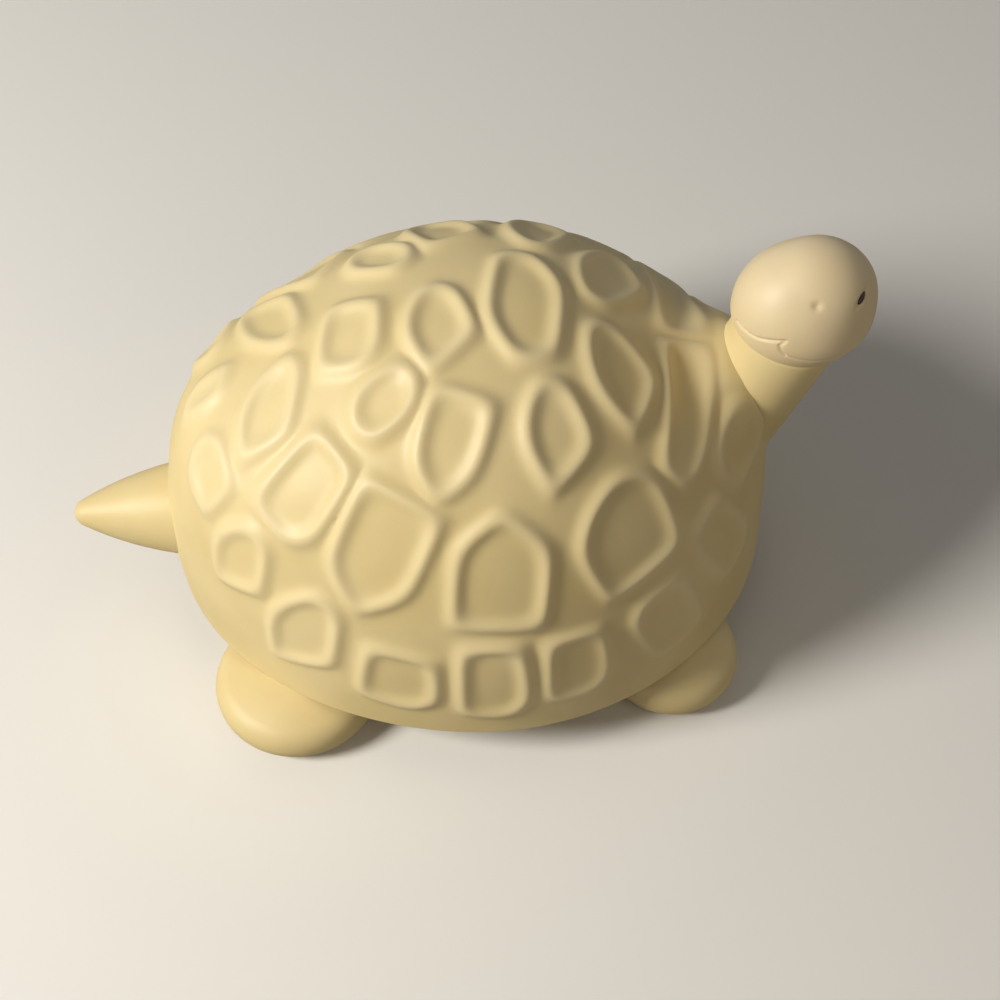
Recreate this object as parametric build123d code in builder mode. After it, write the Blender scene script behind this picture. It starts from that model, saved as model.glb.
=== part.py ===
from build123d import *
import os
from math import asin, cos, degrees, pi, radians, sin

# A moulded turtle figurine, standing on its four feet and looking along +X, with +Z up.
# The origin is on the ground, under the middle of the whole length from tail tip to face.
# Lengths are in millimetres.

# Whole figure: reaches from the shell's own upright axis
tail_reach = 78.3
face_reach = 69.1

# Shell: a tall dome with a soft swelling low at the front and the rear, over the neck and the tail
shell_front = 53.6
shell_rear = 59.6
shell_half_width = 46.5
shell_top = 76.0
rim_height = 11.0
shell_wall = 2.4
front_swell = 3.2
rear_swell = 3.4
plan_power = 1.92
rise_power = 2.3
swell_focus = 5
swell_power = 2.6
dome_sections = 10
section_points = 24
crown_share = 0.35

# Raised rims round the scutes
bead_width = 2.0
bead_height = 0.9
bead_root = 3.4
bead_reach = 1.9
bead_corner = 1.8
scute_reach = 10.0

# Belly pan, pushed up into the shell's mouth
seat_wall = 1.3
seat_depth = 3.2
seat_clearance = 0.1
pan_bulge_length = 88.0
pan_bulge_width = 24.0
pan_bulge_corner = 11.0
pan_bulge_edge = 4.0
pan_ground_gap = 5.0
pan_wall = 2.0

# Feet: round buns with a flat sole, each with a stub that snaps into the pan
rear_foot_radius = 15.7
rear_foot_back = 37.3
rear_foot_aside = 29.4
front_foot_radius = 12.8
front_foot_forward = 33.9
front_foot_aside = 28.1
foot_edge_radius = 4.6
foot_seat_sink = 0.4
stub_radius = 4.0
stub_shift = 5.0
stub_root = 2.0
stub_flange_radius = 5.2
stub_flange_depth = 1.4
stub_clearance = 0.1

# Tail: a blunt cone lying level behind the shell
tail_height = 22.5
tail_root_radius = 9.6
tail_length = 24.0
tail_tip_radius = 2.8
tail_tip_turn = 62.0

# Neck: a thick stalk that leans forward out of the shell
neck_lean = 14.0
neck_root_lean = 25.0
neck_root_forward = 40.0
neck_root_height = 22.0
neck_root_radius = 11.0
neck_top_radius = 9.0
neck_plug_height = 41.0

# Round plugs of the neck and the tail, through the shell's wall
plug_radius = 5.0
plug_clearance = 0.1
plug_flange_radius = 6.6
plug_flange_depth = 1.6
plug_root = 2.5

# Head: a hollow ball with a flat seat, turning on the neck's round button
head_radius = 12.2
face_radius = 12.0
head_height = 71.2
face_rise = 1.6
face_advance = 1.3
head_seat_drop = 7.9
head_wall = 2.0
head_floor = 1.6
stem_radius = 5.5
stem_clearance = 0.06
button_radius = 7.0
button_depth = 2.4
button_edge = 0.8
button_lift = 0.1

# Eyes: small dark ovals let into the face
eye_bearing = 43.0
eye_climb = 34.5
eye_turn = 65.0
eye_width = 1.3
eye_length = 2.7
eye_sink = 0.9
eye_stand = 0.15
eye_clearance = 0.05
dimple_bearing = 81.0
dimple_climb = 48.0
dimple_radius = 0.9
dimple_depth = 0.4

# Mouth: a fine groove, level round the face and falling away behind its two corners
mouth_width = 0.5
mouth_depth = 0.5
mouth_corner_back = 4.5
mouth_corner_rise = 1.9
mouth_front_turn = 8.5
mouth_rear_turn = 30.6

overrun = 1.0

# Places worked out from those sizes
shell_x = (tail_reach - face_reach) / 2
ledge_height = rim_height + seat_depth
face_x = shell_x + face_reach - face_radius
head_x = face_x - face_advance
face_height = head_height + face_rise
lean = radians(neck_lean)
seat_x = head_x - head_seat_drop * sin(lean)
seat_height = head_height - head_seat_drop * cos(lean)
tail_tip_x = shell_x - tail_reach

# Scute outlines, as shares of a scute's half width and half length, from the rear top corner forward
hexagon_shares = ((-0.4, 1.0), (0.4, 1.0), (1.0, 0.3), (0.5, -0.95), (-0.4, -1.0), (-1.0, -0.25))
house_shares = ((0.0, 1.0), (1.0, 0.42), (0.9, -1.0), (-1.0, -0.95), (-0.95, 0.42))
square_shares = ((-0.8, 1.0), (0.8, 0.95), (1.0, -0.6), (0.5, -1.0), (-0.9, -0.85))
shield_shares = ((-0.25, 1.0), (0.45, 0.9), (1.05, -0.3), (-0.3, -1.05), (-1.0, -0.15), (-0.85, 0.5))

# Scutes of the right side, mirrored on the left: bearing from the front and climb from the rim's level
# in degrees, half width and half length as shares of scute_reach, turn in degrees, outline
side_scute_shares = (
    (-136, 69, 0.54, 0.70, -42, hexagon_shares),
    (-165, 54, 0.58, 1.00, -32, shield_shares),
    (-104, 66, 0.54, 0.93, 163, house_shares),
    (-63, 66, 0.60, 0.92, 5, shield_shares),
    (-25, 66, 0.64, 0.99, 24, shield_shares),
    (-142, 50, 0.67, 0.95, -44, square_shares),
    (-119, 46, 0.76, 1.22, 157, house_shares),
    (-88, 46, 0.81, 1.12, -3, house_shares),
    (-54, 45, 0.99, 1.13, -3, shield_shares),
    (-21, 53, 0.48, 1.28, -6, square_shares),
    (-18, 41, 0.62, 0.74, 173, hexagon_shares),
    (-31, 29, 0.57, 0.98, 37, square_shares),
    (-49, 22, 0.65, 0.91, 203, square_shares),
    (-72, 20, 0.60, 0.86, 3, square_shares),
    (-91, 19, 0.64, 0.98, 1, square_shares),
    (-112, 18, 0.74, 0.75, -7, square_shares),
    (-133, 23, 0.71, 1.12, -28, shield_shares),
    (-149, 31, 0.63, 0.89, -34, shield_shares),
    (-163, 39, 0.57, 0.71, -6, shield_shares),
)

# Scutes on the shell's ridge, one of each
ridge_scute_shares = (
    (0, 83, 0.72, 1.20, 4, hexagon_shares),
    (-150, 83, 0.61, 0.88, 0, shield_shares),
    (-174, 70, 0.60, 0.68, -8, square_shares),
    (180, 43, 0.68, 0.34, 15, hexagon_shares),
    (0, 46, 0.48, 0.77, -20, shield_shares),
)


def shell_radius(bearing, height, inset):
    """Distance of the shell's surface from its own axis, at a bearing and a height, drawn in by inset."""
    ahead = cos(bearing)
    aside = sin(bearing)
    reach = (shell_front if ahead > 0 else shell_rear) - inset
    spread = (abs(ahead) / reach) ** plan_power + (abs(aside) / (shell_half_width - inset)) ** plan_power
    rise = (height - rim_height) / (shell_top - inset - rim_height)
    rise = min(max(rise, 0), 1)
    swell = (front_swell if ahead > 0 else rear_swell) * abs(ahead) ** swell_focus
    return spread ** (-1 / plan_power) * (1 - rise**rise_power) ** (1 / rise_power) + swell * sin(
        2 * pi * rise**swell_power
    )


def shell_section(height, inset):
    """The shell's level outline at one height, drawn in by inset."""
    points = []
    for number in range(section_points):
        bearing = 2 * pi * number / section_points
        radius = shell_radius(bearing, height, inset)
        points.append(Vector(shell_x + radius * cos(bearing), radius * sin(bearing)))
    even_shares = [number / section_points for number in range(section_points + 1)]
    with BuildSketch(Plane.XY.offset(height)) as section:
        with BuildLine():
            add(Edge.make_spline(points, periodic=True, parameters=even_shares))
        make_face()
    return section.sketch


def dome(inset, base):
    """The solid dome from the level base up, drawn in by inset."""
    top = shell_top - inset
    sections = []
    for number in range(dome_sections):
        share = sin(pi / 2 * number / (dome_sections - crown_share))
        sections.append(shell_section(base + (top - base) * share, inset))
    with BuildPart() as solid:
        loft(sections)
    return solid.part


def surface_point(bearing, climb):
    """The point of the shell's surface in one direction from the middle of its rim."""
    near = 0
    far = shell_top + shell_rear
    while far - near > far * 1e-6:
        middle = (near + far) / 2
        height = rim_height + middle * sin(climb)
        inside = height < shell_top and middle * cos(climb) < shell_radius(bearing, height, 0)
        near, far = (middle, far) if inside else (near, middle)
    level = near * cos(climb)
    return Vector(shell_x + level * cos(bearing), level * sin(bearing), rim_height + near * sin(climb))


def surface_plane(bearing, climb, turn, depth):
    """A plane some depth under the shell's surface, with its Z axis outward and its X axis turned from forward."""
    step = radians(2)
    middle = surface_point(bearing, climb)
    across = surface_point(bearing + step / max(cos(climb), step), climb) - middle
    upward = surface_point(bearing, climb + step) - middle
    outward = across.cross(upward).normalized()
    forward = (Vector(1, 0, 0) - outward * outward.X).normalized()
    leftward = outward.cross(forward)
    return Plane(
        origin=middle - outward * depth,
        x_dir=forward * cos(turn) + leftward * sin(turn),
        z_dir=outward,
    )


def scute_rim(bearing, climb, width_share, length_share, turn, outline_shares):
    """The upright ring that becomes one scute's raised rim."""
    half_width = scute_reach * width_share
    half_length = scute_reach * length_share
    base = surface_plane(radians(bearing), radians(climb), radians(turn), bead_root)
    points = [(half_width * across, half_length * along) for across, along in outline_shares]
    with BuildPart() as ring:
        with BuildSketch(base) as outline:
            with BuildLine():
                Polyline(*points, close=True)
            make_face()
            fillet(outline.vertices(), bead_corner)
            offset(amount=bead_width / 2)
            offset(amount=-bead_width, mode=Mode.SUBTRACT)
        extrude(amount=bead_root + bead_reach)
    return ring.part


def level_plug(outer_x, inner_x, height, radius):
    """A round bar along X between two places."""
    length = abs(outer_x - inner_x)
    with BuildPart(Plane.YZ.offset((outer_x + inner_x) / 2)) as bar:
        with Locations((0, height)):
            Cylinder(radius, length)
    return bar.part


os.makedirs("parts", exist_ok=True)

# Solids that the shell and the parts that lie against it are made from
outer_dome = dome(0, rim_height)
raised_dome = dome(-bead_height, rim_height)
cavity = dome(shell_wall, ledge_height)

side_rims = [scute_rim(*row) for row in side_scute_shares]
ridge_rims = [scute_rim(*row) for row in ridge_scute_shares]
with BuildPart() as beads:
    add(side_rims)
    mirror(about=Plane.XZ)
    add(ridge_rims)
    add(raised_dome, mode=Mode.INTERSECT)

# Where the plugs of the neck and the tail cross the shell's wall
neck_wall_x = shell_x + shell_radius(0, neck_plug_height, 0)
neck_inner_x = shell_x + shell_radius(0, neck_plug_height, shell_wall)
tail_wall_x = shell_x - shell_radius(pi, tail_height, 0)
tail_inner_x = shell_x - shell_radius(pi, tail_height, shell_wall)

# Shell, open below, with a stepped mouth for the belly pan and a round hole for each plug
with BuildPart() as shell:
    add(outer_dome)
    add(beads.part)
    add(cavity, mode=Mode.SUBTRACT)
    extrude(shell_section(rim_height, seat_wall), amount=seat_depth, mode=Mode.SUBTRACT)
    add(
        level_plug(neck_wall_x + plug_root, neck_inner_x - plug_root, neck_plug_height, plug_radius + plug_clearance),
        mode=Mode.SUBTRACT,
    )
    add(
        level_plug(tail_wall_x - plug_root, tail_inner_x + plug_root, tail_height, plug_radius + plug_clearance),
        mode=Mode.SUBTRACT,
    )
shell.part.label = "shell"
export_step(shell.part, "parts/shell.step")

# Feet: the right and left feet are mirror images
foot_places = {
    "front": (shell_x + front_foot_forward, front_foot_aside, front_foot_radius),
    "rear": (shell_x - rear_foot_back, rear_foot_aside, rear_foot_radius),
}
foot_top = rim_height
foot_crown = foot_top + foot_seat_sink

# Belly pan: a plate on the shell's ledge, with a hollow keel between the feet
with BuildPart() as belly_pan:
    extrude(shell_section(rim_height, seat_wall + seat_clearance), amount=seat_depth)
    with BuildSketch(Plane.XY.offset(pan_ground_gap)):
        with Locations((shell_x, 0)):
            RectangleRounded(pan_bulge_length, pan_bulge_width, pan_bulge_corner)
    extrude(amount=rim_height - pan_ground_gap)
    fillet(belly_pan.faces().sort_by(Axis.Z)[0].edges(), pan_bulge_edge)
    with BuildSketch(Plane.XY.offset(pan_ground_gap + pan_wall)):
        with Locations((shell_x, 0)):
            RectangleRounded(
                pan_bulge_length - 2 * pan_bulge_edge,
                pan_bulge_width - 2 * pan_bulge_edge,
                pan_bulge_corner - pan_bulge_edge,
            )
    extrude(amount=ledge_height - pan_ground_gap - pan_wall, mode=Mode.SUBTRACT)
    for foot_x, foot_aside, foot_radius in foot_places.values():
        for side in (-1, 1):
            with Locations((foot_x, side * (foot_aside - stub_shift), ledge_height)):
                Hole(stub_radius + stub_clearance, seat_depth)
belly_pan.part.label = "belly_pan"
export_step(belly_pan.part, "parts/belly_pan.step")

for end, (foot_x, foot_aside, foot_radius) in foot_places.items():
    for name, side in (("right", -1), ("left", 1)):
        with BuildPart() as foot:
            sole_radius = foot_radius - foot_edge_radius
            crown_radius = (sole_radius**2 + (foot_crown - foot_edge_radius) ** 2 - foot_edge_radius**2) / (
                2 * foot_crown - 4 * foot_edge_radius
            )
            crown_turn = degrees(asin(sole_radius / (crown_radius - foot_edge_radius)))
            with BuildSketch(Plane.XZ):
                with BuildLine():
                    sole = Line((0, 0), (sole_radius, 0))
                    edge = CenterArc((sole_radius, foot_edge_radius), foot_edge_radius, -90, 180 - crown_turn)
                    crown = TangentArc(edge @ 1, (0, foot_crown), tangent=edge % 1)
                    Line(crown @ 1, sole @ 0)
                make_face()
                with Locations((0, foot_top)):
                    Rectangle(foot_radius, foot_top, align=(Align.MIN, Align.MIN), mode=Mode.SUBTRACT)
            revolve(axis=Axis.Z)
            with Locations((0, -side * stub_shift, foot_top - stub_root)):
                Cylinder(
                    stub_radius,
                    stub_root + seat_depth + stub_flange_depth,
                    align=(Align.CENTER, Align.CENTER, Align.MIN),
                )
            with Locations((0, -side * stub_shift, ledge_height)):
                Cylinder(
                    stub_flange_radius,
                    stub_flange_depth,
                    align=(Align.CENTER, Align.CENTER, Align.MIN),
                )
        placed = Pos(foot_x, side * foot_aside, 0) * foot.part
        placed.label = end + "_" + name + "_foot"
        export_step(placed, "parts/" + placed.label + ".step")

# Tail: a blunt cone of revolution, cut to the shell's surface, with its plug
tail_end_x = tail_tip_x + tail_length
with BuildPart() as tail:
    with BuildSketch(Plane.XY.offset(tail_height)):
        with BuildLine():
            tip_arc = JernArc((tail_tip_x, 0), (0, 1), tail_tip_radius, -tail_tip_turn)
            side_arc = TangentArc(tip_arc @ 1, (tail_end_x, tail_root_radius), tangent=tip_arc % 1)
            Polyline(side_arc @ 1, (tail_end_x, 0), (tail_tip_x, 0))
        make_face()
    revolve(axis=Axis((tail_tip_x, 0, tail_height), (1, 0, 0)))
    add(outer_dome, mode=Mode.SUBTRACT)
    add(beads.part, mode=Mode.SUBTRACT)
    add(level_plug(tail_wall_x - plug_root, tail_inner_x + plug_root, tail_height, plug_radius))
with BuildPart() as tail_flange:
    add(level_plug(tail_wall_x, tail_inner_x + plug_flange_depth, tail_height, plug_flange_radius))
    add(cavity, mode=Mode.INTERSECT)
with BuildPart() as whole_tail:
    add(tail.part)
    add(tail_flange.part)
whole_tail.part.label = "tail"
export_step(whole_tail.part, "parts/tail.step")

# Neck: a leaning stalk cut to the shell's surface, with its plug, and a stem and button on top
seat_plane = Plane(
    origin=(seat_x, 0, seat_height),
    x_dir=(cos(lean), 0, -sin(lean)),
    z_dir=(sin(lean), 0, cos(lean)),
)
seat_axis = Axis(seat_plane.origin, seat_plane.z_dir)
neck_section_shares = (0.0, 0.3, 0.65, 1.0)
neck_sections = []
for share in neck_section_shares:
    section_lean = radians(neck_root_lean + (neck_lean - neck_root_lean) * share)
    bend = share * (2 - share) * 0.25 + share * 0.75
    section_plane = Plane(
        origin=(
            shell_x + neck_root_forward + (seat_x - shell_x - neck_root_forward) * bend,
            0,
            neck_root_height + (seat_height - neck_root_height) * share,
        ),
        x_dir=(cos(section_lean), 0, -sin(section_lean)),
        z_dir=(sin(section_lean), 0, cos(section_lean)),
    )
    with BuildSketch(section_plane) as neck_section:
        Circle(neck_root_radius + (neck_top_radius - neck_root_radius) * share)
    neck_sections.append(neck_section.sketch)
with BuildPart() as neck:
    loft(neck_sections)
    add(outer_dome, mode=Mode.SUBTRACT)
    add(beads.part, mode=Mode.SUBTRACT)
    add(level_plug(neck_wall_x + plug_root, neck_inner_x - plug_root, neck_plug_height, plug_radius))
    with BuildSketch(seat_plane):
        Circle(stem_radius)
    extrude(amount=head_floor + button_lift + button_depth)
    with BuildSketch(seat_plane.offset(head_floor + button_lift)):
        Circle(button_radius)
    extrude(amount=button_depth)
    fillet(neck.faces().sort_by(seat_axis)[-1].edges(), button_edge)
with BuildPart() as neck_flange:
    add(level_plug(neck_wall_x, neck_inner_x - plug_flange_depth, neck_plug_height, plug_flange_radius))
    add(cavity, mode=Mode.INTERSECT)
with BuildPart() as whole_neck:
    add(neck.part)
    add(neck_flange.part)
whole_neck.part.label = "neck"
export_step(whole_neck.part, "parts/neck.step")


def face_plane(bearing, climb, distance):
    """A plane square to the line from the face ball's middle, at a distance along it."""
    around = radians(bearing)
    up = radians(climb)
    outward = Vector(cos(around) * cos(up), sin(around) * cos(up), sin(up))
    middle = Vector(face_x, 0, face_height)
    return Plane(origin=middle + outward * distance, x_dir=(-sin(around), cos(around), 0), z_dir=outward)


def mouth_plane(turn, way):
    """A plane through the line between the mouth's corners, with its X axis going away and falling."""
    fall = radians(turn)
    corner = (face_x - mouth_corner_back, 0, face_height + mouth_corner_rise)
    return Plane(origin=corner, x_dir=(way * cos(fall), 0, -sin(fall)), z_dir=(way * sin(fall), 0, cos(fall)))


# Mouth: two thin plates that meet at its corners, less the balls that they may not go into
with BuildPart() as mouth_groove:
    for turn, way in ((mouth_front_turn, 1), (mouth_rear_turn, -1)):
        with Locations(mouth_plane(turn, way)):
            Box(2 * head_radius, 3 * head_radius, mouth_width, align=(Align.MIN, Align.CENTER, Align.CENTER))
    with Locations((head_x, 0, head_height)):
        Sphere(head_radius - mouth_depth, mode=Mode.SUBTRACT)
    with Locations((face_x, 0, face_height)):
        Sphere(face_radius - mouth_depth, mode=Mode.SUBTRACT)

# Head: two merged balls, hollow, with a flat seat and a floor that turns on the neck's stem
with BuildPart() as head:
    with Locations((head_x, 0, head_height)):
        Sphere(head_radius)
    with Locations((face_x, 0, face_height)):
        Sphere(face_radius)
    split(bisect_by=seat_plane, keep=Keep.TOP)
    with BuildPart(mode=Mode.PRIVATE) as hollow:
        with Locations((head_x, 0, head_height)):
            Sphere(head_radius - head_wall)
        with Locations((face_x, 0, face_height)):
            Sphere(face_radius - head_wall)
        split(bisect_by=seat_plane.offset(head_floor), keep=Keep.TOP)
    add(hollow.part, mode=Mode.SUBTRACT)
    with BuildSketch(seat_plane):
        Circle(stem_radius + stem_clearance)
    extrude(amount=head_floor, mode=Mode.SUBTRACT)
    for side in (-1, 1):
        with BuildSketch(face_plane(side * eye_bearing, eye_climb, face_radius + overrun)):
            Ellipse(eye_width / 2 + eye_clearance, eye_length / 2 + eye_clearance, rotation=side * eye_turn)
        extrude(amount=-(overrun + eye_sink), mode=Mode.SUBTRACT)
        dimple = face_plane(side * dimple_bearing, dimple_climb, face_radius + dimple_radius - dimple_depth)
        with Locations(dimple):
            Sphere(dimple_radius, mode=Mode.SUBTRACT)
    add(mouth_groove.part, mode=Mode.SUBTRACT)
head.part.label = "head"
export_step(head.part, "parts/head.step")

# Eyes
for name, side in (("right", -1), ("left", 1)):
    with BuildPart() as eye:
        with BuildSketch(face_plane(side * eye_bearing, eye_climb, face_radius - eye_sink)):
            Ellipse(eye_width / 2, eye_length / 2, rotation=side * eye_turn)
        extrude(amount=eye_sink + eye_stand)
    eye.part.label = name + "_eye"
    export_step(eye.part, "parts/" + eye.part.label + ".step")
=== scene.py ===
from math import cos, pi, radians, sin
import bpy
import numpy as np
from mathutils import Matrix, Vector


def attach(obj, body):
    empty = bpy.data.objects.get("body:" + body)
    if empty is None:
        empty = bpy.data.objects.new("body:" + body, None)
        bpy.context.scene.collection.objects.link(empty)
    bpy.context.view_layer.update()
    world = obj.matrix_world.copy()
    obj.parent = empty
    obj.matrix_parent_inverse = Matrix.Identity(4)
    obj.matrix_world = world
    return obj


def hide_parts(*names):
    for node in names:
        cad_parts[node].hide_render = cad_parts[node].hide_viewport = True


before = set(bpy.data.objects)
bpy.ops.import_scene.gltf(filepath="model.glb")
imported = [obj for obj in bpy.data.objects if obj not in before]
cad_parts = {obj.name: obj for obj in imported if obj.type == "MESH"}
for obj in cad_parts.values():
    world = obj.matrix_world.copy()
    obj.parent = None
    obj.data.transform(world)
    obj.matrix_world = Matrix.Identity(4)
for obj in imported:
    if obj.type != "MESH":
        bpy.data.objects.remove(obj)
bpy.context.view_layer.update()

# Shell
# One hollow dome of soft cream vinyl, moulded in one piece and taken out warm, so that the raised rims
# round its scutes are soft and a little uneven. The belly pan is pushed up into its stepped mouth.
# Sizes are in millimetres and angles in degrees. far_away stands for a distance out of reach.
millimetre = 0.001
shell_x = 4.6
shell_front = 53.6
shell_rear = 59.6
shell_half_width = 46.5
shell_top = 76.0
rim_height = 11.0
front_swell = 3.2
rear_swell = 3.4
plan_power = 1.92
rise_power = 2.3
swell_focus = 5
swell_power = 2.6
shell_wall = 2.4
seat_wall = 1.3
seat_depth = 3.2
lining_rings = 7
bead_height = 0.78
bead_gain = 0.32
bead_half_width = 1.5
scute_reach = 10.0
corner_softness = 1.4
unevenness = 0.15
wave_lengths = (37.0, 31.0, 43.0)
wave_shift = 11.0
wave_fade_power = 4
neck_root = (41.6, 0.0, 22.0)
neck_seam = (59.03, 0.0, 65.71)
neck_collar_lift = 5.5
neck_collar_reach = 14.0
neck_collar_power = 4
neck_collar_low = 40.0
neck_collar_high = 60.0
tail_height = 22.5
tail_collar_lift = 0.5
tail_collar_reach = 12.5
tail_collar_power = 6
far_away = 100.0
surface_halvings = 32
normal_step = 0.5
exponent_limit = 30

# Small amounts that keep directions defined at the crown, where the bearings meet
crown_gap = 0.002
crown_margin = 0.001
least_level_share = 0.05

# Scute outlines, as shares of a scute's half width forward and half length upward, starting at the top
# and going round by the front
hexagon_shares = ((-0.4, 1.0), (0.4, 1.0), (1.0, 0.3), (0.5, -0.95), (-0.4, -1.0), (-1.0, -0.25))
house_shares = ((0.0, 1.0), (1.0, 0.42), (0.9, -1.0), (-1.0, -0.95), (-0.95, 0.42))
square_shares = ((-0.8, 1.0), (0.8, 0.95), (1.0, -0.6), (0.5, -1.0), (-0.9, -0.85))
shield_shares = ((-0.25, 1.0), (0.45, 0.9), (1.05, -0.3), (-0.3, -1.05), (-1.0, -0.15), (-0.85, 0.5))

# Scutes of the right side, mirrored on the left: bearing from the front and climb from the rim's level
# in degrees, half width and half length as shares of scute_reach, turn in degrees, outline
side_scute_shares = (
    (-136, 69, 0.54, 0.70, -42, hexagon_shares),
    (-165, 54, 0.58, 1.00, -32, shield_shares),
    (-104, 66, 0.54, 0.93, 163, house_shares),
    (-63, 66, 0.60, 0.92, 5, shield_shares),
    (-25, 66, 0.64, 0.99, 24, shield_shares),
    (-142, 50, 0.67, 0.95, -44, square_shares),
    (-119, 46, 0.76, 1.22, 157, house_shares),
    (-88, 46, 0.81, 1.12, -3, house_shares),
    (-54, 45, 0.99, 1.13, -3, shield_shares),
    (-21, 53, 0.48, 1.28, -6, square_shares),
    (-18, 41, 0.62, 0.74, 173, hexagon_shares),
    (-31, 29, 0.57, 0.98, 37, square_shares),
    (-49, 22, 0.65, 0.91, 203, square_shares),
    (-72, 20, 0.60, 0.86, 3, square_shares),
    (-91, 19, 0.64, 0.98, 1, square_shares),
    (-112, 18, 0.74, 0.75, -7, square_shares),
    (-133, 23, 0.71, 1.12, -28, shield_shares),
    (-149, 31, 0.63, 0.89, -34, shield_shares),
    (-163, 39, 0.57, 0.71, -6, shield_shares),
)

# Scutes on the shell's ridge, which aren't mirrored
ridge_scute_shares = (
    (0, 83, 0.72, 1.20, 4, hexagon_shares),
    (-150, 83, 0.61, 0.88, 0, shield_shares),
    (-174, 70, 0.60, 0.68, -8, square_shares),
    (180, 43, 0.68, 0.34, 15, hexagon_shares),
    (0, 46, 0.48, 0.77, -20, shield_shares),
)


def shell_radius(bearing, height, inset):
    """Distance of the shell's surface from its own axis, at bearings and heights, drawn in by inset."""
    ahead = np.cos(bearing)
    aside = np.sin(bearing)
    reach = np.where(ahead > 0, shell_front, shell_rear) - inset
    spread = (abs(ahead) / reach) ** plan_power + (abs(aside) / (shell_half_width - inset)) ** plan_power
    rise = np.clip((height - rim_height) / (shell_top - inset - rim_height), 0, 1)
    swell = np.where(ahead > 0, front_swell, rear_swell) * abs(ahead) ** swell_focus
    wave = np.sin(2 * pi * rise**swell_power)
    return spread ** (-1 / plan_power) * (1 - rise**rise_power) ** (1 / rise_power) + swell * wave


def shell_points(bearing, climb):
    """Where lines from the middle of the rim, at these bearings and climbs, meet the dome."""
    near = np.zeros(np.shape(bearing))
    far = near + shell_top + shell_rear
    for halving in range(surface_halvings):
        middle = (near + far) / 2
        height = rim_height + middle * np.sin(climb)
        inside = (height < shell_top) & (middle * np.cos(climb) < shell_radius(bearing, height, 0))
        near = np.where(inside, middle, near)
        far = np.where(inside, far, middle)
    level = near * np.cos(climb)
    return np.stack(
        [shell_x + level * np.cos(bearing), level * np.sin(bearing), rim_height + near * np.sin(climb)], -1
    )


def shell_normals(bearing, climb):
    """Places on the dome at these bearings and climbs, and its outward directions there."""
    step = radians(normal_step)
    middle = shell_points(bearing, climb)
    turned = step / np.maximum(np.cos(climb), least_level_share)
    across = shell_points(bearing + turned, climb) - shell_points(bearing - turned, climb)
    upward = shell_points(bearing, np.minimum(climb + step, pi / 2 - crown_margin)) - middle
    outward = np.cross(across, upward)
    return middle, outward / np.linalg.norm(outward, axis=-1, keepdims=True)


def scute_distance(points, bearing, climb, width_share, length_share, turn, outline_shares, side):
    """How far points lie outside one scute's rounded outline, less than zero inside it."""
    middle, outward = shell_normals(np.array(radians(bearing)), np.array(radians(climb)))
    forward = np.array([1.0, 0.0, 0.0]) - outward * outward[0]
    forward /= np.linalg.norm(forward)
    leftward = np.cross(outward, forward)
    from_middle = (points * (1, side, 1)) - middle
    spin = radians(turn)
    along = from_middle @ (leftward * cos(spin) - forward * sin(spin))
    across = from_middle @ (forward * cos(spin) + leftward * sin(spin))
    corners = np.array(outline_shares) * scute_reach * np.array([width_share, length_share])
    total = np.zeros(len(points))
    for corner, following in zip(corners, np.roll(corners, -1, axis=0)):
        edge = (following - corner) / np.linalg.norm(following - corner)
        beyond = (across - corner[0]) * -edge[1] + (along - corner[1]) * edge[0]
        total += np.exp(np.clip(beyond, -exponent_limit, exponent_limit) / corner_softness)
    distance = corner_softness * np.log(total)
    behind = from_middle @ outward < -2 * scute_reach
    return np.where(behind, far_away, distance)


def mesh_points(piece):
    """The places of a piece's mesh points, in millimetres."""
    flat = np.zeros(len(piece.data.vertices) * 3, np.float32)
    piece.data.vertices.foreach_get("co", flat)
    return flat.reshape(-1, 3).astype(float) / millimetre


def move_points(piece, points):
    """Puts a piece's mesh points at places in millimetres."""
    piece.data.vertices.foreach_set("co", (points * millimetre).astype(np.float32).ravel())
    piece.data.update()


def selected_points(piece):
    """Which of a piece's mesh points are selected."""
    chosen = np.zeros(len(piece.data.vertices), bool)
    piece.data.vertices.foreach_get("select", chosen)
    return chosen


bpy.ops.object.select_all(action="DESELECT")
bpy.ops.mesh.primitive_ico_sphere_add(subdivisions=8, radius=1)
shell = bpy.context.object
shell.name = "moulded_shell"
bpy.ops.object.mode_set(mode="EDIT")
bpy.ops.mesh.select_all(action="SELECT")
bpy.ops.mesh.bisect(plane_co=(0, 0, 0), plane_no=(0, 0, 1), clear_inner=True, threshold=0.0001)
bpy.ops.object.mode_set(mode="OBJECT")

directions = mesh_points(shell) * millimetre
bearings = np.arctan2(directions[:, 1], directions[:, 0])
level_shares = np.maximum(np.hypot(directions[:, 0], directions[:, 1]), crown_gap)
climbs = np.arctan2(np.maximum(directions[:, 2], 0), level_shares)
dome_points, dome_normals = shell_normals(bearings, climbs)
beads = np.zeros(len(dome_points))
scutes = [(row, side) for side in (1, -1) for row in side_scute_shares]
scutes += [(row, 1) for row in ridge_scute_shares]
for row, side in scutes:
    outside = scute_distance(dome_points, *row, side)
    beads = np.maximum(beads, np.exp(-((outside / bead_half_width) ** 2)))

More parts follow.
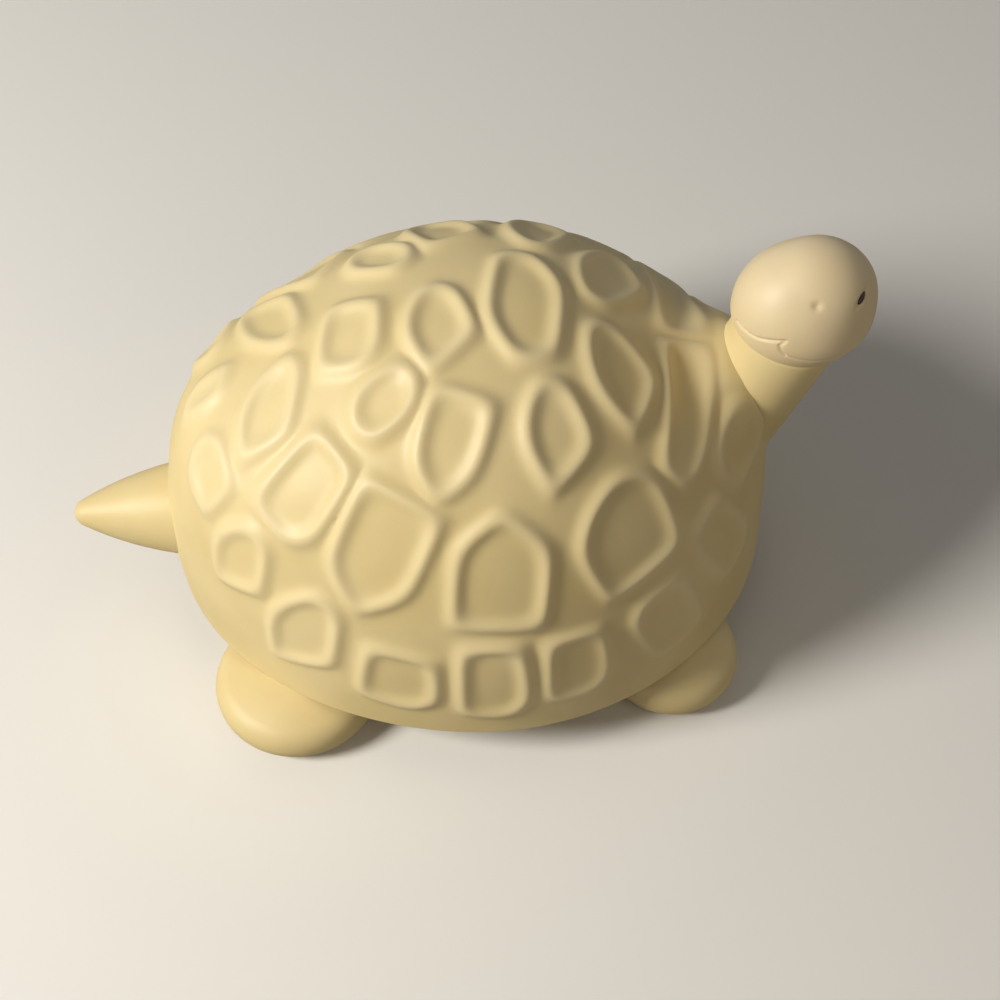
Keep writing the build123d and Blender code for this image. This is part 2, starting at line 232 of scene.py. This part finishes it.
# The wall's slow waves from the mould, and the collars where it draws up round the neck and the tail
waves = np.prod(np.sin(2 * pi * (dome_points + wave_shift) / wave_lengths), axis=1)
waves *= 1 - np.cos(climbs) ** wave_fade_power
neck_way = np.array(neck_seam) - neck_root
neck_way /= np.linalg.norm(neck_way)
from_neck = np.linalg.norm(np.cross(dome_points - neck_root, neck_way), axis=1)
climbed = np.clip((dome_points[:, 2] - neck_collar_low) / (neck_collar_high - neck_collar_low), 0, 1)
neck_cover = np.exp(-((from_neck / neck_collar_reach) ** neck_collar_power))
neck_collar = neck_cover * climbed**2 * (3 - 2 * climbed)
from_tail = np.hypot(dome_points[:, 1], dome_points[:, 2] - tail_height)
from_tail += far_away * (dome_points[:, 0] > shell_x)
tail_collar = np.exp(-((from_tail / tail_collar_reach) ** tail_collar_power))
bead_heights = bead_height + bead_gain * np.sin(climbs)
raised = (beads * bead_heights + waves * unevenness) * (1 - neck_cover) * (1 - tail_collar)
raised += neck_collar * neck_collar_lift + neck_cover * tail_collar_lift + tail_collar * tail_collar_lift
move_points(shell, dome_points + dome_normals * raised[:, None])

# The stepped mouth and the lining, drawn in ring by ring from the rim
bpy.ops.object.mode_set(mode="EDIT")
bpy.ops.mesh.select_all(action="DESELECT")
bpy.ops.mesh.select_mode(type="EDGE")
bpy.ops.mesh.select_non_manifold()
ledge_height = rim_height + seat_depth
lining_height = shell_top - shell_wall - ledge_height
rings = [(seat_wall, rim_height), (seat_wall, ledge_height), (shell_wall, ledge_height)]
for ring in range(1, lining_rings + 1):
    rings.append((shell_wall, ledge_height + lining_height * sin(pi / 2 * ring / lining_rings)))
for inset, height in rings:
    bpy.ops.mesh.extrude_edges_move()
    bpy.ops.object.mode_set(mode="OBJECT")
    points = mesh_points(shell)
    ring_points = selected_points(shell)
    ring_bearings = np.arctan2(points[ring_points, 1], points[ring_points, 0] - shell_x)
    ring_radius = shell_radius(ring_bearings, height, inset)
    points[ring_points, 0] = shell_x + ring_radius * np.cos(ring_bearings)
    points[ring_points, 1] = ring_radius * np.sin(ring_bearings)
    points[ring_points, 2] = height
    move_points(shell, points)
    bpy.ops.object.mode_set(mode="EDIT")
bpy.ops.mesh.select_mode(type="VERT")
bpy.ops.mesh.merge(type="CENTER")
bpy.ops.mesh.select_all(action="SELECT")
bpy.ops.mesh.normals_make_consistent(inside=False)
bpy.ops.object.mode_set(mode="OBJECT")
bpy.ops.object.shade_smooth_by_angle(angle=radians(50))

# How far each point of the shell stands on a rim, for the painted highlight on the rims in the vinyl's
# colour
bead_share = np.zeros(len(shell.data.vertices), np.float32)
bead_share[: len(beads)] = beads
shell.data.attributes.new("bead_share", "FLOAT", "POINT").data.foreach_set("value", bead_share)


def linear(hex_colour):
    """An sRGB hex colour as the linear colour that a shader takes."""
    shares = [int(hex_colour[place : place + 2], 16) / 255 for place in (1, 3, 5)]
    return [s / 12.92 if s <= 0.04045 else ((s + 0.055) / 1.055) ** 2.4 for s in shares] + [1.0]


def add_node(material, kind, settings, links=()):
    """Adds a node with its settings, and links given outputs into its inputs."""
    node = material.node_tree.nodes.new(kind)
    sockets = {socket.identifier: socket for socket in node.inputs}
    for name, value in settings.items():
        if name in sockets:
            sockets[name].default_value = value
        else:
            setattr(node, name, value)
    for name, output in links:
        material.node_tree.links.new(output, sockets[name])
    return node


# Soft cream vinyl, rotation moulded: satin, faintly cloudy in colour, with a painted highlight that makes
# the raised rims a little lighter than the wall between them, with the fine grain of a blasted mould, and
# thin enough to let some warm light in. The colour of a mix node comes from its output number mixed_colour.
mixed_colour = 2
vinyl = bpy.data.materials.new("soft_cream_vinyl")
vinyl.use_nodes = True
vinyl.node_tree.nodes.clear()
place = add_node(vinyl, "ShaderNodeTexCoord", {}).outputs["Object"]
cloud = add_node(
    vinyl,
    "ShaderNodeTexNoise",
    {"Scale": 1 / (22 * millimetre), "Detail": 2.0, "Roughness": 0.5},
    [("Vector", place)],
).outputs["Fac"]
cloud_share = add_node(
    vinyl, "ShaderNodeMapRange", {"From Min": 0.35, "From Max": 0.65}, [("Value", cloud)]
).outputs["Result"]
cloudy = add_node(
    vinyl,
    "ShaderNodeMix",
    {"data_type": "RGBA", "A_Color": linear("#dcc88f"), "B_Color": linear("#e5d29d")},
    [("Factor_Float", cloud_share)],
).outputs[mixed_colour]
# The raised rims are mixed toward a lighter cream: a painted highlight where the rims catch the light
rim_share = add_node(vinyl, "ShaderNodeAttribute", {"attribute_name": "bead_share"}).outputs["Fac"]
painted_rim_highlight_share = add_node(
    vinyl, "ShaderNodeMapRange", {"To Max": 0.3}, [("Value", rim_share)]
).outputs["Result"]
painted_rim_highlight = add_node(
    vinyl,
    "ShaderNodeMix",
    {"data_type": "RGBA", "B_Color": linear("#f0e2bb")},
    [("Factor_Float", painted_rim_highlight_share), ("A_Color", cloudy)],
).outputs[mixed_colour]
grain = add_node(
    vinyl, "ShaderNodeTexNoise", {"Scale": 1 / (0.7 * millimetre), "Detail": 2.0}, [("Vector", place)]
).outputs["Fac"]
grain_bump = add_node(
    vinyl, "ShaderNodeBump", {"Strength": 0.25, "Distance": 0.04 * millimetre}, [("Height", grain)]
).outputs["Normal"]
sheen_cloud = add_node(
    vinyl, "ShaderNodeTexNoise", {"Scale": 1 / (9 * millimetre), "Detail": 3.0}, [("Vector", place)]
).outputs["Fac"]
satin = add_node(
    vinyl, "ShaderNodeMapRange", {"To Min": 0.42, "To Max": 0.58}, [("Value", sheen_cloud)]
).outputs["Result"]
vinyl_shader = add_node(
    vinyl,
    "ShaderNodeBsdfPrincipled",
    {
        "IOR": 1.53,
        "Subsurface Weight": 0.25,
        "Subsurface Radius": (1.0, 0.55, 0.25),
        "Subsurface Scale": 1.3 * millimetre,
    },
    [
        ("Base Color", painted_rim_highlight),
        ("Roughness", satin),
        ("Normal", grain_bump),
    ],
)
add_node(vinyl, "ShaderNodeOutputMaterial", {}, [("Surface", vinyl_shader.outputs["BSDF"])])
shell.data.materials.append(vinyl)
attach(shell, "body")
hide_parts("shell")

# Belly pan, feet and tail
# Vinyl pieces from the same moulding batch as the shell. The pan is pushed into the shell's mouth, and each
# foot and the tail snap in by a stub with a flange. Their solids have the real shapes.
plain_nodes = (
    "belly_pan",
    "front_right_foot",
    "front_left_foot",
    "rear_right_foot",
    "rear_left_foot",
    "tail",
)
for name in plain_nodes:
    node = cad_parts[name]
    node.data.materials.clear()
    node.data.materials.append(vinyl)

# Neck
# A leaning stalk of the shell's vinyl, moulded by itself, which goes through the shell's wall and carries
# the head on a round button. Its edges are rounded over.
neck_root_radius = 9.6
neck_top_radius = 9.4
neck_root_lean = 25.0
neck_lean = 14.0
neck_edge = 0.8
neck_gap = 0.05
neck_rings = 12
facing_up_share = 0.9
bpy.ops.object.select_all(action="DESELECT")
bpy.ops.mesh.primitive_cylinder_add(vertices=128, radius=1, depth=1)
neck = bpy.context.object
neck.name = "neck_stalk"
bpy.ops.object.mode_set(mode="EDIT")
bpy.ops.mesh.select_mode(type="FACE")
bpy.ops.mesh.select_all(action="DESELECT")
bpy.ops.object.mode_set(mode="OBJECT")
for face in neck.data.polygons:
    face.select = face.normal.z > facing_up_share
bpy.ops.object.mode_set(mode="EDIT")
for ring in range(neck_rings - 1):
    bpy.ops.mesh.extrude_region_move(TRANSFORM_OT_translate={"value": (0, 0, 1)})
bpy.ops.object.mode_set(mode="OBJECT")
column = mesh_points(neck) * millimetre
ring_share = ((column[:, 2] + 0.5) / neck_rings)[:, None]
ring_lean = np.radians(neck_root_lean + (neck_lean - neck_root_lean) * ring_share)
ring_radius = neck_root_radius + (neck_top_radius - neck_root_radius) * ring_share
seam_axis = np.array([sin(radians(neck_lean)), 0.0, cos(radians(neck_lean))])
neck_top = np.array(neck_seam) - seam_axis * neck_gap
forward_part = np.concatenate([np.cos(ring_lean), 0 * ring_lean, -np.sin(ring_lean)], axis=1)
move_points(
    neck,
    neck_root
    + (neck_top - neck_root) * ring_share
    + ring_radius * (column[:, [0]] * forward_part + column[:, [1]] * np.array([0.0, 1.0, 0.0])),
)
rounding = neck.modifiers.new("rounded edge", "BEVEL")
rounding.width = neck_edge * millimetre
rounding.segments = 4
rounding.limit_method = "ANGLE"
rounding.angle_limit = radians(50)
bpy.ops.object.modifier_apply(modifier=rounding.name)
bpy.ops.object.shade_smooth_by_angle(angle=radians(40))
neck.data.materials.append(vinyl)
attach(neck, "body")
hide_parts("neck")

# Head
# A hollow ball of paler vinyl, moulded by itself and snapped over the button on the neck, where it turns.
# It is a crown ball and a face ball run together, with a mouth line, folded corners, a dimple and an eye
# on each side.
crown_ball = (60.6, 0.0, 70.6)
crown_radius = 12.7
face_ball = (62.4, 0.0, 73.85)
face_radius = 10.8
ball_softness = 0.35
head_width_share = 0.89
chin_share = 0.81
crease_half_width = 0.28
crease_depth = 0.32
front_mouth_share = 0.4

# Places on the head's right side, mirrored on the left: bearing and climb from its middle, in degrees
mouth_line = ((-165, -5), (-151, -4), (-141, -3), (-130, 1), (-117, 5))
mouth_corner = ((-117, 5), (-121, -1), (-119, -7), (-115, -12))
front_mouth = ((-115, -12), (-95, -19), (-60, -23), (-30, -25), (0, -26))
steps_per_place = 8
dimple_place = (-95.0, 39.0)
dimple_reach = 0.75
dimple_depth = 0.35
eye_place = (-42.0, 33.5)
eye_turn = 65.0
eye_width = 1.1
eye_length = 2.7
socket_depth = 0.3
socket_half_width = 0.3
socket_softness = 0.1
eye_side_depth = 3.0


def ball_reach(directions, start, middle, radius):
    """Distance from a start point to a ball's surface, along directions."""
    offset = np.array(middle) - start
    along = directions @ offset
    return along + np.sqrt(np.maximum(along**2 - offset @ offset + radius**2, 0))


def head_surface(directions):
    """The points of the head's surface in these directions from its middle."""
    crown_reach = ball_reach(directions, head_middle, crown_ball, crown_radius)
    face_reach = ball_reach(directions, head_middle, face_ball, face_radius)
    merged = np.logaddexp(crown_reach / ball_softness, face_reach / ball_softness) - np.log(2)
    from_middle = directions * (merged * ball_softness)[:, None]
    from_middle[:, 1] *= head_width_share
    from_middle[:, 2] *= np.where(from_middle[:, 2] < 0, chin_share, 1)
    return head_middle + from_middle


def head_places(places, side):
    """The head's surface at pairs of bearing and climb, mirrored for the left side."""
    bearing, climb = np.radians(np.array(places, float)).T
    level = np.cos(climb)
    ways = np.stack([np.cos(bearing) * level, -side * np.sin(bearing) * level, np.sin(climb)], -1)
    return head_surface(ways)


def distance_from_line(points, line):
    """How far points are from a line of short straight lengths."""
    nearest = np.full(len(points), far_away)
    for start, end in zip(line[:-1], line[1:]):
        length = end - start
        share = np.clip((points - start) @ length / (length @ length), 0, 1)
        nearest = np.minimum(nearest, np.linalg.norm(points - start - share[:, None] * length, axis=1))
    return nearest


def eye_axes(side):
    """The middle of the eye on one side, and directions outward, across and along it."""
    middle = head_places([eye_place], side)[0]
    outward = (middle - face_ball) / np.linalg.norm(middle - face_ball)
    level = np.cross([0.0, 0.0, 1.0], outward)
    level /= np.linalg.norm(level)
    upward = np.cross(outward, level)
    spin = radians(side * eye_turn)
    return middle, outward, level * cos(spin) + upward * sin(spin), upward * cos(spin) - level * sin(spin)


bpy.ops.object.select_all(action="DESELECT")
bpy.ops.mesh.primitive_ico_sphere_add(subdivisions=7, radius=1)
head = bpy.context.object
head.name = "ball_head"
head_middle = (np.array(crown_ball) + face_ball) / 2
head_directions = mesh_points(head) * millimetre
head_directions /= np.linalg.norm(head_directions, axis=1, keepdims=True)
head_points = head_surface(head_directions)
dents = np.zeros(len(head_points))
for side in (-1, 1):
    for places, share in ((mouth_line, 1.0), (mouth_corner, 1.0), (front_mouth, front_mouth_share)):
        steps = np.linspace(0, len(places) - 1, steps_per_place * len(places))
        finer = np.stack([np.interp(steps, range(len(places)), column) for column in zip(*places)], -1)
        from_crease = distance_from_line(head_points, head_places(finer, side))
        dents = np.maximum(dents, share * crease_depth * np.exp(-((from_crease / crease_half_width) ** 2)))
    from_dimple = np.linalg.norm(head_points - head_places([dimple_place], side), axis=1)
    dents = np.maximum(dents, dimple_depth * np.exp(-((from_dimple / dimple_reach) ** 2)))
    eye_middle, eye_outward, eye_across, eye_along = eye_axes(side)
    from_eye = head_points - eye_middle
    oval = np.hypot(from_eye @ eye_across / (eye_width / 2), from_eye @ eye_along / (eye_length / 2))
    from_socket = (oval - 1) * eye_width / 2
    socket_steps = np.clip(from_socket / socket_softness, -exponent_limit, exponent_limit)
    inside_socket = 1 / (1 + np.exp(socket_steps))
    socket = np.maximum(inside_socket, np.exp(-((from_socket / socket_half_width) ** 2)))
    dents = np.maximum(dents, np.where(from_eye @ eye_outward > -eye_side_depth, socket_depth * socket, 0))
move_points(head, head_points - head_directions * dents[:, None])

bpy.ops.object.mode_set(mode="EDIT")
bpy.ops.mesh.select_all(action="SELECT")
bpy.ops.mesh.bisect(
    plane_co=Vector(neck_seam) * millimetre,
    plane_no=seam_axis,
    clear_inner=True,
    use_fill=True,
    threshold=0.00001,
)
bpy.ops.mesh.select_all(action="SELECT")
bpy.ops.mesh.normals_make_consistent(inside=False)
bpy.ops.object.mode_set(mode="OBJECT")
bpy.ops.object.shade_smooth_by_angle(angle=radians(60))

# The same vinyl as the shell's, with less pigment, so it is paler and pinker
pale_vinyl = vinyl.copy()
pale_vinyl.name = "soft_pale_vinyl"
pale_mix = [node for node in pale_vinyl.node_tree.nodes if node.bl_idname == "ShaderNodeMix"][0]
pale_colours = {"A_Color": linear("#e5d2a8"), "B_Color": linear("#eddab3")}
for socket in pale_mix.inputs:
    if socket.identifier in pale_colours:
        socket.default_value = pale_colours[socket.identifier]
head.data.materials.append(pale_vinyl)
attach(head, "turning_head")
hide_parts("head")

# Eyes
# Small domed ovals of hard, glossy, reddish black plastic, injection moulded and pressed into the sockets
# of the face. Each is a ball drawn out along the socket and flattened, and the left one mirrors the right.
eye_stand = 0.08
eye_dome = 0.55
dark_plastic = bpy.data.materials.new("glossy_dark_plastic")
dark_plastic.use_nodes = True
dark_plastic.node_tree.nodes.clear()
eye_spot = add_node(dark_plastic, "ShaderNodeTexCoord", {}).outputs["Object"]
eye_cloud = add_node(
    dark_plastic,
    "ShaderNodeTexNoise",
    {"Scale": 1 / (1.2 * millimetre), "Detail": 2.0},
    [("Vector", eye_spot)],
).outputs["Fac"]
eye_colour = add_node(dark_plastic, "ShaderNodeValToRGB", {}, [("Fac", eye_cloud)])
eye_colour.color_ramp.elements[0].color = linear("#140706")
eye_colour.color_ramp.elements[1].color = linear("#38120d")
eye_shader = add_node(
    dark_plastic,
    "ShaderNodeBsdfPrincipled",
    {"IOR": 1.45, "Roughness": 0.28, "Specular IOR Level": 0.3},
    [("Base Color", eye_colour.outputs["Color"])],
)
add_node(dark_plastic, "ShaderNodeOutputMaterial", {}, [("Surface", eye_shader.outputs["BSDF"])])
for side, name in ((-1, "right_eye"), (1, "left_eye")):
    bpy.ops.object.select_all(action="DESELECT")
    bpy.ops.mesh.primitive_uv_sphere_add(segments=48, ring_count=24, radius=1)
    eye = bpy.context.object
    eye.name = "dark_" + name
    eye_middle, eye_outward, eye_across, eye_along = eye_axes(side)
    ball = mesh_points(eye) * millimetre
    eye_middle = eye_middle + eye_outward * (eye_stand - eye_dome)
    move_points(
        eye,
        eye_middle
        + ball[:, [0]] * eye_across * eye_width / 2
        + ball[:, [1]] * eye_along * eye_length / 2
        + ball[:, [2]] * eye_outward * eye_dome,
    )
    bpy.ops.object.mode_set(mode="EDIT")
    bpy.ops.mesh.select_all(action="SELECT")
    bpy.ops.mesh.normals_make_consistent(inside=False)
    bpy.ops.object.mode_set(mode="OBJECT")
    bpy.ops.object.shade_smooth()
    eye.data.materials.append(dark_plastic)
    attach(eye, "turning_head")
    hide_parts(name)

# Floor
# A plain pale sheet of matt studio card under the figure. It keeps the figure's shadow, and runs out to
# white well away from it.
fade_start = 260.0
fade_end = 620.0
bpy.ops.object.select_all(action="DESELECT")
bpy.ops.mesh.primitive_plane_add(size=4)
floor = bpy.context.object
floor.name = "studio_floor"
card = bpy.data.materials.new("matt_white_card")
card.use_nodes = True
card_shader = card.node_tree.nodes["Principled BSDF"]
card_shader.inputs["Roughness"].default_value = 0.85
card_seen = add_node(card, "ShaderNodeLightPath", {}).outputs["Is Camera Ray"]
card_colour = add_node(
    card,
    "ShaderNodeMix",
    {"data_type": "RGBA", "A_Color": linear("#a5a29c"), "B_Color": linear("#f6f5f2")},
    [("Factor_Float", card_seen)],
).outputs[mixed_colour]
card.node_tree.links.new(card_colour, card_shader.inputs["Base Color"])
card_place = add_node(card, "ShaderNodeTexCoord", {}).outputs["Object"]
card_reach = add_node(card, "ShaderNodeVectorMath", {"operation": "LENGTH"}, [("Vector", card_place)])
faded = add_node(
    card,
    "ShaderNodeMapRange",
    {"From Min": fade_start * millimetre, "From Max": fade_end * millimetre},
    [("Value", card_reach.outputs["Value"])],
).outputs["Result"]
fade_seen = add_node(
    card, "ShaderNodeMath", {"operation": "MULTIPLY"}, [("Value", faded), ("Value_001", card_seen)]
).outputs["Value"]
white = add_node(card, "ShaderNodeEmission", {"Color": (1, 1, 1, 1), "Strength": 1.0}).outputs["Emission"]
card_mix = add_node(
    card,
    "ShaderNodeMixShader",
    {},
    [("Fac", fade_seen), ("Shader", card_shader.outputs["BSDF"]), ("Shader_001", white)],
).outputs["Shader"]
card.node_tree.links.new(card_mix, card.node_tree.nodes["Material Output"].inputs["Surface"])
floor.data.materials.append(card)

# Light
# A large soft lamp high behind the figure's right side, a weaker and warmer one in front of it, and an even
# white room.
room_strength = 0.11
lamp_target = Vector((0, 0, 0.04))
world = bpy.data.worlds.new("white_room")
bpy.context.scene.world = world
world.use_nodes = True
world.node_tree.nodes.clear()
rays = add_node(world, "ShaderNodeLightPath", {})
seen = add_node(
    world,
    "ShaderNodeMath",
    {"operation": "MAXIMUM"},
    [("Value", rays.outputs["Is Camera Ray"]), ("Value_001", rays.outputs["Is Glossy Ray"])],
)
seen_through = add_node(
    world,
    "ShaderNodeMath",
    {"operation": "MAXIMUM"},
    [("Value", seen.outputs["Value"]), ("Value_001", rays.outputs["Is Transmission Ray"])],
)
room_light = add_node(
    world,
    "ShaderNodeMapRange",
    {"To Min": room_strength, "To Max": 1.0},
    [("Value", seen_through.outputs["Value"])],
)
room = add_node(
    world, "ShaderNodeBackground", {"Color": (1, 1, 1, 1)}, [("Strength", room_light.outputs["Result"])]
)
add_node(world, "ShaderNodeOutputWorld", {}, [("Surface", room.outputs["Background"])])
for name, place, size, power, colour in (
    ("key_lamp", (-0.58, -0.19, 0.46), 0.25, 5.5, (1.0, 0.95, 0.87)),
    ("fill_lamp", (0.45, -0.5, 0.45), 0.5, 0.45, (1.0, 0.78, 0.5)),
):
    lamp = bpy.data.lights.new(name, "AREA")
    lamp.shape = "DISK"
    lamp.size = size
    lamp.energy = power
    lamp.color = colour
    lamp_object = bpy.data.objects.new(name, lamp)
    bpy.context.scene.collection.objects.link(lamp_object)
    lamp_object.location = place
    lamp_object.rotation_euler = (lamp_target - Vector(place)).to_track_quat("-Z", "Y").to_euler()

# Camera
# It looks down on the figure's right-hand side from the photograph's angle, from about 36 cm away. Its
# turn, climb and roll are in degrees.
camera_turn = -2.75
camera_climb = 54.0
camera_roll = -1.02
camera_distance = 361.0
look_at = Vector((2.87 + shell_x, -4.44, 25.0)) * millimetre
turn = radians(camera_turn)
climb = radians(camera_climb)
roll = radians(camera_roll)
backward = Vector((sin(turn) * cos(climb), -cos(turn) * cos(climb), sin(climb)))
level_right = Vector((cos(turn), sin(turn), 0))
level_up = backward.cross(level_right)
camera_right = level_right * cos(roll) + level_up * sin(roll)
camera_up = level_up * cos(roll) - level_right * sin(roll)
camera = bpy.data.cameras.new("camera")
camera.lens = 68.4
camera.sensor_width = 36.0
camera.clip_start = 0.01
camera_object = bpy.data.objects.new("camera", camera)
bpy.context.scene.collection.objects.link(camera_object)
camera_object.location = look_at + backward * camera_distance * millimetre
camera_axes = (camera_right, camera_up, backward)
camera_object.rotation_euler = Matrix(camera_axes).transposed().to_euler()
bpy.context.scene.camera = camera_object
bpy.context.scene.view_settings.view_transform = "Standard"
